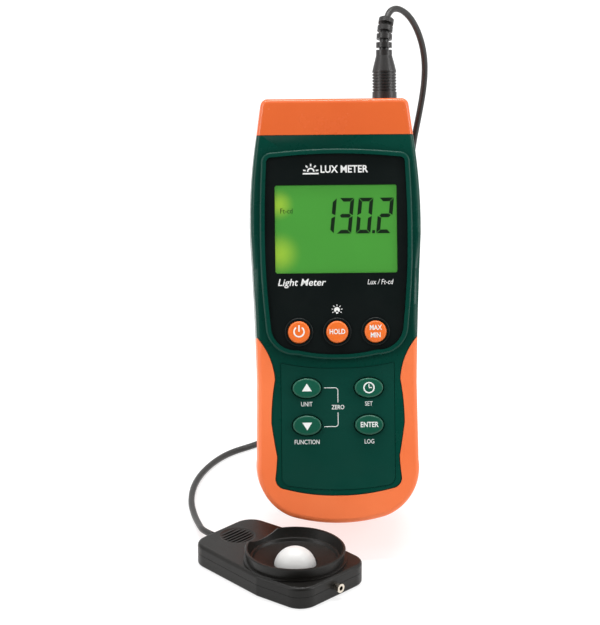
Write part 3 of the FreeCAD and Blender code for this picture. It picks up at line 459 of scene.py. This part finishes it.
def digit_segments(digit, left, base):
    """Bevelled bars of one seven-segment digit."""
    w, h, s, g = DIGIT_WIDTH, DIGIT_HEIGHT, STROKE, SEGMENT_GAP
    mid = h / 2

    def across(z, top):
        if z == mid:
            return [(g + s * .35, z), (g + s * .85, z + s / 2), (w - g - s * .85, z + s / 2),
                    (w - g - s * .35, z), (w - g - s * .85, z - s / 2), (g + s * .85, z - s / 2)]
        inner = -s if top else s
        return [(g, z), (w - g, z), (w - g - s, z + inner), (g + s, z + inner)]

    def upright(x, z0, z1, inner):
        return [(x, z0 + g), (x, z1 - g), (x + inner, z1 - g - s * .95), (x + inner, z0 + g + s * .55)]

    def upright_low(x, z0, z1, inner):
        return [(x, z0 + g), (x, z1 - g), (x + inner, z1 - g - s * .55), (x + inner, z0 + g + s * .95)]

    bars = {
        "a": across(h, True), "g": across(mid, False), "d": across(0.0, False),
        "b": upright(w, mid, h, -s), "c": upright_low(w, 0.0, mid, -s),
        "f": upright(0.0, mid, h, s), "e": upright_low(0.0, 0.0, mid, s),
    }
    return [[(left + x + SLANT * z, base + z) for x, z in bars[key]] for key in LIT[digit]]


reading = []
BASE = 123.9
for digit, left in (("1", -7.3), ("3", 0.2), ("0", 8.4), ("2", 17.2)):
    reading += digit_segments(digit, left, BASE)
reading.append([(15.4, BASE), (16.7, BASE), (16.85, BASE + 1.4), (15.55, BASE + 1.4)])
flat_piece("reading", reading, GLASS_Y, 0.02, ink, "meter")


# ---------------------------------------------------------------------------------------------
# Printed words and signs: white pad-printing ink on the panel, the plate and the key tops.
# ---------------------------------------------------------------------------------------------
def printing_ink(name, dark, light):
    """Pad-printing ink: flat and slightly uneven in cover."""
    material, tree, output, place = new_material(name)
    tint = mottle(tree, place, 700.0, 4.0, dark, light)
    shader = add_node(tree, "ShaderNodeBsdfPrincipled", {"Base Color": tint, "Roughness": 0.5})
    tree.links.new(shader.outputs["BSDF"], output.inputs["Surface"])
    return material


white_ink = printing_ink("white printing ink", "#E6E8E6", "#F6F7F5")
PLATE_FACE, PANEL_FACE, ROUND_TOP, OVAL_TOP = -45.17, -45.92, -47.32, -46.92
CAPITALS_TO_SIZE = 0.73        # height of the font's capitals against its nominal size
INK = 0.02                     # thickness of the print
OVAL_LEFT, OVAL_RIGHT, OVAL_HIGH = -13.3, 13.3, 57.8
LINE = 0.28                    # width of the bracket's lines


def words(name, text, x, z, height, front, body,
          weight=0.0, shear=0.0, material=white_ink, narrow=1.0):
    """One printed word: x and z are its middle in the meter's millimetres, height its capitals'."""
    font = bpy.data.curves.new(name, "FONT")
    font.body = text
    font.size = height / CAPITALS_TO_SIZE
    font.align_x, font.align_y = "CENTER", "CENTER"
    font.shear = shear
    font.offset = weight
    font.extrude = 0.01
    font.resolution_u = 3
    piece = as_mesh(bpy.data.objects.new(name, font), name)
    turn = Matrix.Rotation(math.radians(90), 4, "X")
    squeeze = Matrix.Diagonal((narrow, 1, 1, 1))
    piece.data.transform(METER @ Matrix.Translation((x, front, z)) @ turn @ squeeze)
    piece.data.materials.clear()
    piece.data.materials.append(material)
    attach(piece, body)
    return piece


def arc(cx, cz, radius, width, start, end, steps=20):
    """Band of an arc, in degrees from the right, as one outline."""
    angles = [math.radians(start + (end - start) * i / steps) for i in range(steps + 1)]
    outer_r, inner_r = radius + width / 2, radius - width / 2
    outer = [(cx + outer_r * math.cos(a), cz + outer_r * math.sin(a)) for a in angles]
    inner = [(cx + inner_r * math.cos(a), cz + inner_r * math.sin(a)) for a in angles]
    return outer + inner[::-1]


def bar(start, end, width):
    """Straight stroke between two points."""
    (x0, z0), (x1, z1) = start, end
    length = math.hypot(x1 - x0, z1 - z0)
    nx, nz = -(z1 - z0) / length * width / 2, (x1 - x0) / length * width / 2
    return [(x0 + nx, z0 + nz), (x1 + nx, z1 + nz), (x1 - nx, z1 - nz), (x0 - nx, z0 - nz)]


PLATE_WORDS = (("unit", "UNIT", -13.4, 50.9), ("set", "SET", 13.2, 50.9), ("zero", "ZERO", 0.0, 49.5),
               ("function", "FUNCTION", -13.4, 34.7), ("log", "LOG", 13.3, 34.7))
KEY_WORDS = (("hold", "HOLD", 0.0, 81.8), ("max", "MAX", 16.4, 83.4), ("min", "MIN", 16.4, 80.2))
for spot, text, x, z in PLATE_WORDS:
    words("label_" + spot, text, x, z, 1.95, PLATE_FACE, "meter", weight=0.02, narrow=0.8)
for key, text, x, z in KEY_WORDS:
    owner = "hold_key" if key == "hold" else "max_min_key"
    words("label_" + key, text, x, z, 2.2, ROUND_TOP, owner, weight=0.06, narrow=0.82)
words("label_enter", "ENTER", 13.3, 41.9, 2.3, OVAL_TOP, "enter_key", weight=0.06, narrow=0.82)
words("label_light_meter", "Light Meter", -15.2, 103.0, 3.1, PANEL_FACE, "meter",
      weight=0.04, shear=0.22, narrow=1.02)
words("label_lux", "Lux / Ft-cd", 18.6, 103.0, 2.3, PANEL_FACE, "meter", shear=0.22, narrow=0.8)
words("label_lux_meter", "LUX METER", 3.6, 151.4, 3.2, PANEL_FACE, "meter", weight=0.09, narrow=0.9)
words("label_reading_unit", "Ft-cd", -21.2, 133.7, 2.3, GLASS_Y, "meter", material=ink, narrow=0.86)

flat_piece("sign_power", [arc(-16.4, 82.0, 2.15, 0.62, 125, 415), bar((-16.4, 82.0), (-16.4, 84.8), 0.6)],
           ROUND_TOP, INK, white_ink, "power_key")
flat_piece("sign_up", [[(-15.4, 56.5), (-11.2, 56.5), (OVAL_LEFT, 59.8)]],
           OVAL_TOP, INK, white_ink, "up_key")
flat_piece("sign_down", [[(-15.4, 43.1), (OVAL_LEFT, 39.8), (-11.2, 43.1)]],
           OVAL_TOP, INK, white_ink, "down_key")
clock = [arc(OVAL_RIGHT, OVAL_HIGH, 2.15, 0.55, 0, 180), arc(OVAL_RIGHT, OVAL_HIGH, 2.15, 0.55, 180, 360),
         bar((OVAL_RIGHT, 57.6), (OVAL_RIGHT, 59.3), 0.4), bar((13.1, OVAL_HIGH), (14.6, OVAL_HIGH), 0.4)]
flat_piece("sign_clock", clock, OVAL_TOP, INK, white_ink, "unit_key")
brackets = [bar((-5.9, 57.9), (-1.2, 57.9), LINE), bar((0.0, 56.7), (0.0, 51.6), LINE),
            bar((-5.9, 41.3), (-1.2, 41.3), LINE), bar((0.0, 42.5), (0.0, 47.3), LINE),
            arc(-1.2, 56.7, 1.2, LINE, 0, 90, 8), arc(-1.2, 42.5, 1.2, LINE, 270, 360, 8)]
flat_piece("bracket_lines", brackets, PLATE_FACE, INK, white_ink, "meter")


def rays(x, z, first, count, inner_r, outer_r, width):
    """Strokes that spread from a middle, 40 degrees apart."""
    strokes = []
    for ray in range(count):
        angle = math.radians(first + ray * 40)
        strokes.append(bar((x + inner_r * math.cos(angle), z + inner_r * math.sin(angle)),
                           (x + outer_r * math.cos(angle), z + outer_r * math.sin(angle)), width))
    return strokes


LAMP_Z = 91.2
lamp_sign = [arc(0.0, LAMP_Z, 0.62, 1.24, -50, 230, 16),
             [(-0.45, 90.3), (0.45, 90.3), (0.4, 89.6), (-0.4, 89.6)]]
lamp_sign += rays(0.0, LAMP_Z, -30, 7, 1.65, 2.35, 0.3)
flat_piece("sign_lamp", lamp_sign, PANEL_FACE, INK, white_ink, "meter")

SUN_X, SUN_Z = -10.6, 150.6
emblem = [arc(SUN_X, SUN_Z, 1.3, 0.6, -5, 185, 20),
          bar((SUN_X - 3.4, SUN_Z - 0.9), (SUN_X + 3.4, SUN_Z - 0.9), 0.6)]
emblem += rays(SUN_X, SUN_Z, 10, 5, 2.2, 3.3, 0.6)
flat_piece("sign_sun", emblem, PANEL_FACE, INK, white_ink, "meter")

# ---------------------------------------------------------------------------------------------
# Keys: seven separate silicone caps over a contact mat, orange above and green below.
# ---------------------------------------------------------------------------------------------
key_orange = elastomer("orange silicone", "#EC6C22", "#F2762C", 0.4, 0.36)
finish_node(key_orange, "power_key", "hold_key", "max_min_key")
key_green = elastomer("green silicone", "#004B38", "#005842", 0.4, 0.36)
key_green.node_tree.nodes["Principled BSDF"].inputs["Sheen Tint"].default_value = linear("#8FD0BB")
finish_node(key_green, "up_key", "unit_key", "down_key", "enter_key")

# ---------------------------------------------------------------------------------------------
# Plug, strain relief and coil tie: moulded black PVC with a soft lustre, on a nickel barrel.
# ---------------------------------------------------------------------------------------------
moulded_pvc = moulded_abs("moulded black PVC", "#161514", "#22201F", 0.38, peel_mm=0.5, peel=0.15)
finish_node(moulded_pvc, "plug_body", "strain_relief", "cable_gland")
tie_nylon = elastomer("grey hook-and-loop tape", "#2E2E2E", "#3A3A3A", 0.6, 0.8)
finish_node(tie_nylon, "coil_tie")


def bright_metal(name, dark, light, roughness, brush_mm):
    """Plated or rolled metal with fine drawn lines this far apart."""
    material, tree, output, place = new_material(name)
    fineness = MM_PER_M / brush_mm
    lines = add_node(tree, "ShaderNodeTexNoise", {"Vector": place, "Scale": fineness, "Detail": 2.0})
    tint = mottle(tree, place, fineness, 2.0, dark, light)
    bump = add_node(tree, "ShaderNodeBump", {
        "Height": lines.outputs["Fac"], "Strength": 0.1, "Distance": 0.00005})
    shader = add_node(tree, "ShaderNodeBsdfPrincipled", {
        "Base Color": tint, "Metallic": 1.0, "Roughness": roughness, "Normal": bump.outputs["Normal"]})
    tree.links.new(shader.outputs["BSDF"], output.inputs["Surface"])
    return material


nickel = bright_metal("bright nickel plate", "#C9BFAF", "#E2D9CB", 0.18, 0.8)
finish_node(nickel, "plug_barrel", "plug_pins", "front_stud", "photodiode")

# ---------------------------------------------------------------------------------------------
# Sensor head: two ABS shells in warm black with a fine spark-eroded texture, a white opal dome in
# the collar, and a hollow nickel stud in the front end.
# ---------------------------------------------------------------------------------------------
head_abs = moulded_abs("warm black ABS, spark-eroded", "#11100E", "#191714", 0.38,
                       peel_mm=0.45, peel=0.3, shine=0.24)
finish_node(head_abs, "sensor_base", "sensor_top")


def opal_acrylic():
    """White diffusing acrylic: light goes in and scatters back, so its shadows are soft and pale."""
    material, tree, output, place = new_material("white opal acrylic")
    tint = mottle(tree, place, 150.0, 3.0, "#D6D5D3", "#DFDEDC")
    shader = add_node(tree, "ShaderNodeBsdfPrincipled", {
        "Base Color": tint, "Roughness": 0.38, "IOR": 1.49,
        "Subsurface Weight": 0.35, "Subsurface Radius": (0.002, 0.002, 0.002), "Subsurface Scale": 1.0})
    tree.links.new(shader.outputs["BSDF"], output.inputs["Surface"])
    return material


finish_node(opal_acrylic(), "diffuser_dome", degrees=60.0)

# ---------------------------------------------------------------------------------------------
# Stand, screws, tripod insert and the pieces behind the door and inside the cases.
# ---------------------------------------------------------------------------------------------
black_abs = moulded_abs("black ABS, fine matt", "#171817", "#212221", 0.48, peel_mm=0.5, peel=0.3)
finish_node(black_abs, "tilt_stand", "port_panel", "dc_jack", "serial_jack", "buzzer", "board_components",
            "sensor_socket", "memory_card")
steel = bright_metal("nickel-plated steel", "#A9A9A6", "#C8C8C5", 0.28, 0.5)
finish_node(steel, "case_screws", "cover_screws", "stand_pin", "sensor_screws", "card_holder",
            "battery_springs", "battery_contacts")
brass = bright_metal("machined brass", "#B08D4A", "#CBA766", 0.3, 0.4)
finish_node(brass, "tripod_nut")
white_abs = moulded_abs("white ABS", "#DADAD6", "#E8E8E4", 0.4)
finish_node(white_abs, "lcd_frame", "light_guide", "backlight_lamps", "reset_button")
board_mask = moulded_abs("green solder mask", "#0E4A26", "#16602F", 0.35, peel_mm=0.8)
finish_node(board_mask, "main_board", "sensor_board")
mat_silicone = elastomer("grey silicone", "#4A4A4A", "#585858", 0.6, 0.6)
finish_node(mat_silicone, "contact_mat", "contact_strips")
cell_sleeve = moulded_abs("blue-black cell sleeve", "#20242C", "#2B303A", 0.3)
finish_node(cell_sleeve, "battery_cells")
filter_glass = moulded_abs("green filter glass", "#5E8F6A", "#6DA079", 0.15)
finish_node(filter_glass, "colour_filter")
